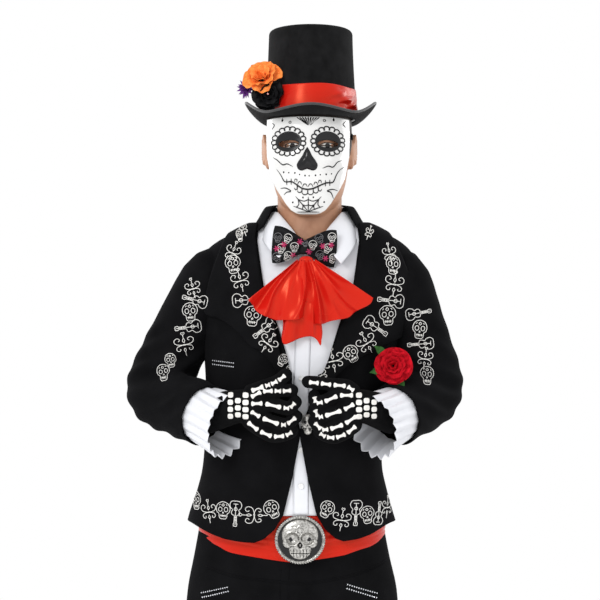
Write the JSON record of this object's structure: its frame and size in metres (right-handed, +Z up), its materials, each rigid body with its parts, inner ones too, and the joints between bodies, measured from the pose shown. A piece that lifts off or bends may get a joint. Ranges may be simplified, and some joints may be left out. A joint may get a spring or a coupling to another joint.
{
  "type": "catrin display figure",
  "caption": "Life-size standing skeleton gentleman of papier-mache on a plinth, with a lift-off top hat, hinged skull mask, turning head and dressed costume.",
  "frame": {"origin": "middle of the plinth's underside, on the floor", "axes": "+Z up, the figure faces -Y and its left hand is at +X"},
  "size_m": [0.68, 0.48, 1.938],
  "materials": {
    "plinth_wood": "dark stained, satin varnish",
    "black_rubber": "matt",
    "zinc_steel": "zinc plated",
    "armature_wood": "bare sawn wood",
    "papier_mache": "layered paper and paste, unpainted",
    "painted_skin": "papier-mache painted a warm tan, matt",
    "painted_hair": "papier-mache painted near black",
    "black_glove": "knitted, printed with white bones",
    "white_satin": "satin weave",
    "pearl_button": "pearl",
    "printed_satin": "satin printed with grey, white and red figures",
    "red_satin": "satin weave",
    "black_suiting": "plain wool suiting, white chain stitch",
    "red_petal": "satin petals, green fabric leaves",
    "cast_silver": "cast, aged in the hollows",
    "black_leather": "polished",
    "black_felt": "wool felt",
    "orange_petal": "fabric petals",
    "black_petal": "fabric petals",
    "purple_petal": "fabric petals",
    "white_gloss": "gloss varnish over white paint with black line work",
    "black_elastic": "flat woven elastic"
  },
  "bodies": {
    "figure": {"arm_wire_left": "zinc_steel", "arm_wire_right": "zinc_steel", "base_board": "plinth_wood", "base_pads": "black_rubber", "bow_knot": "printed_satin", "bow_wings": "printed_satin", "buckle_strap": "zinc_steel", "forearm_form_left": "papier_mache", "forearm_form_right": "papier_mache", "front_clasp": "cast_silver", "glove_left": "black_glove", "glove_right": "black_glove", "hip_block": "armature_wood", "hip_form": "papier_mache", "jabot": "red_satin", "jacket_body": "black_suiting", "jacket_collar": "black_suiting", "jacket_rose": "red_petal", "lapel_left": "black_suiting", "lapel_right": "black_suiting", "leg_form_left": "papier_mache", "leg_form_right": "papier_mache", "neck_peg": "zinc_steel", "neck_washer": "armature_wood", "post_nuts": "zinc_steel", "sash": "red_satin", "shirt_body": "white_satin", "shirt_buttons": "pearl_button", "shirt_collar": "white_satin", "shirt_cuff_left": "white_satin", "shirt_cuff_right": "white_satin", "shoe_soles": "black_rubber", "shoe_upper_left": "black_leather", "shoe_upper_right": "black_leather", "shoulder_bar": "armature_wood", "sleeve_left": "black_suiting", "sleeve_right": "black_suiting", "spine_tube": "zinc_steel", "support_posts": "zinc_steel", "torso_form": "papier_mache", "trouser_studs": "cast_silver", "trousers": "black_suiting", "upper_arm_form_left": "papier_mache", "upper_arm_form_right": "papier_mache"},
    "head": {"head_form": "painted_skin", "hair_cap": "painted_hair", "neck_bush": "zinc_steel", "mask_elastic": "black_elastic"},
    "hat": {"hat_brim": "black_felt", "hat_crown": "black_felt", "hat_flower_black": "black_petal", "hat_flower_orange": "orange_petal", "hat_flower_purple": "purple_petal", "hat_ribbon": "red_satin", "hat_sweatband": "black_leather"},
    "mask": {"mask_shell": "white_gloss"},
    "buckle": {"buckle_plate": "cast_silver", "buckle_skull": "cast_silver", "buckle_lugs": "cast_silver", "buckle_pin": "zinc_steel"}
  },
  "joints": [
    {"name": "head_turn", "type": "hinge", "parent": "figure", "child": "head", "pos_m": [0.03, 0, 1.544], "axis": [0, 0, 1], "range_deg": [-25, 25]},
    {"name": "hat_lift", "type": "slide", "parent": "head", "child": "hat", "axis": [0, 0, 1], "range_m": [0, 0.17]},
    {"name": "mask_tilt", "type": "hinge", "parent": "head", "child": "mask", "pos_m": [0.03, -0.1055, 1.766], "axis": [-1, 0, 0], "range_deg": [0, 25], "stiffness_Nm_per_rad": 0.5, "springref_deg": -11.46},
    {"name": "buckle_swing", "type": "hinge", "parent": "figure", "child": "buckle", "pos_m": [0.051, -0.128, 1.008], "axis": [0, 0, 1], "range_deg": [0, 60]}
  ]
}
